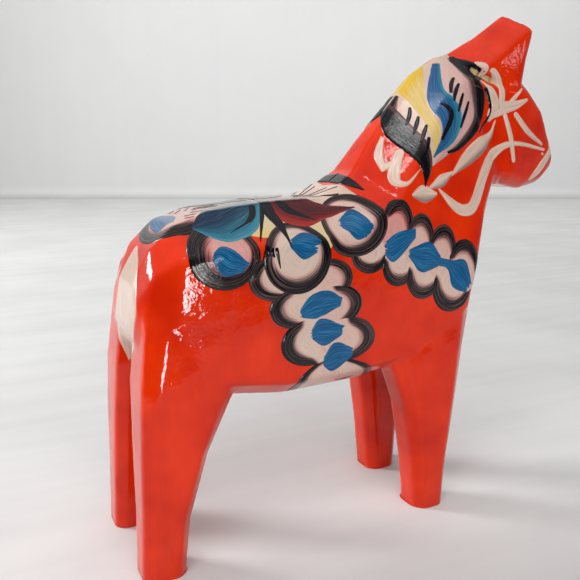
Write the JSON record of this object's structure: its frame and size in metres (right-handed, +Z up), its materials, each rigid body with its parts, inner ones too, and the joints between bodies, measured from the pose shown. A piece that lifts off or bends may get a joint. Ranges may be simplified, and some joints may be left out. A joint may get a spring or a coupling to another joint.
{
  "type": "dala horse",
  "caption": "Knife-carved pine horse on straight legs, dipped in orange-red lacquer, with a brushed saddle flower, scalloped straps, mane patch and bridle.",
  "frame": {"origin": "on the floor, under the middle of the horse's overall length and width", "axes": "+X towards the horse's head, +Y to its left side, +Z up"},
  "size_m": [0.1961, 0.0558, 0.2004],
  "materials": {
    "pine": "bare sawn and knife-cut pine, seen only under the hooves",
    "ground_coat": "dipped orange-red paint under clear gloss varnish",
    "petal_paint": "pinkish white brushed paint shaded to a black rim, varnished",
    "blue_paint": "blue flat-brush marks with bristle lines, varnished",
    "teal_paint": "teal and white double-loaded brush stroke, varnished",
    "dark_red_paint": "dark red double-loaded brush stroke, varnished",
    "yellow_paint": "pale yellow brushed paint, varnished",
    "black_paint": "blue-black brushed paint, varnished",
    "cream_paint": "cream liner-brush strokes, thin enough to let the red through, varnished"
  },
  "bodies": {
    "root": {"pine_body": "pine", "ground_coat": "ground_coat", "tail_stroke": "cream_paint", "rump_lobe": "petal_paint", "rump_dab": "blue_paint", "chest_scallops": "petal_paint", "chest_wave": "blue_paint", "flank_lobe_right": "petal_paint", "flank_lobe_left": "petal_paint", "girth_lobe_right": "petal_paint", "girth_lobe_left": "petal_paint", "withers_lobe_right": "petal_paint", "withers_lobe_left": "petal_paint", "saddle_dabs_right": "blue_paint", "saddle_dabs_left": "blue_paint", "teal_leaf_right": "teal_paint", "teal_leaf_left": "teal_paint", "red_leaf_right": "dark_red_paint", "red_leaf_left": "dark_red_paint", "yellow_ground_right": "yellow_paint", "yellow_ground_left": "yellow_paint", "saddle_strokes_right": "black_paint", "saddle_strokes_left": "black_paint", "neck_foot_patch_right": "black_paint", "neck_foot_patch_left": "black_paint", "girth_scallops_right": "petal_paint", "girth_scallops_left": "petal_paint", "girth_wave_right": "blue_paint", "girth_wave_left": "blue_paint", "breast_scallops_right": "petal_paint", "breast_scallops_left": "petal_paint", "breast_wave_right": "blue_paint", "breast_wave_left": "blue_paint", "mane_patch_right": "petal_paint", "mane_patch_left": "petal_paint", "mane_rim_right": "black_paint", "mane_rim_left": "black_paint", "yellow_petal_right": "yellow_paint", "yellow_petal_left": "yellow_paint", "blue_petal_right": "blue_paint", "blue_petal_left": "blue_paint", "mane_dashes_right": "black_paint", "mane_dashes_left": "black_paint", "neck_scroll_right": "cream_paint", "neck_scroll_left": "cream_paint", "neck_leaves_right": "cream_paint", "neck_leaves_left": "cream_paint", "rein_right": "cream_paint", "rein_left": "cream_paint", "forelock_right": "cream_paint", "forelock_left": "cream_paint", "cheek_strap_right": "cream_paint", "cheek_strap_left": "cream_paint", "nose_line_right": "cream_paint", "nose_line_left": "cream_paint", "muzzle_band_right": "cream_paint", "muzzle_band_left": "cream_paint"}
  },
  "joints": []
}
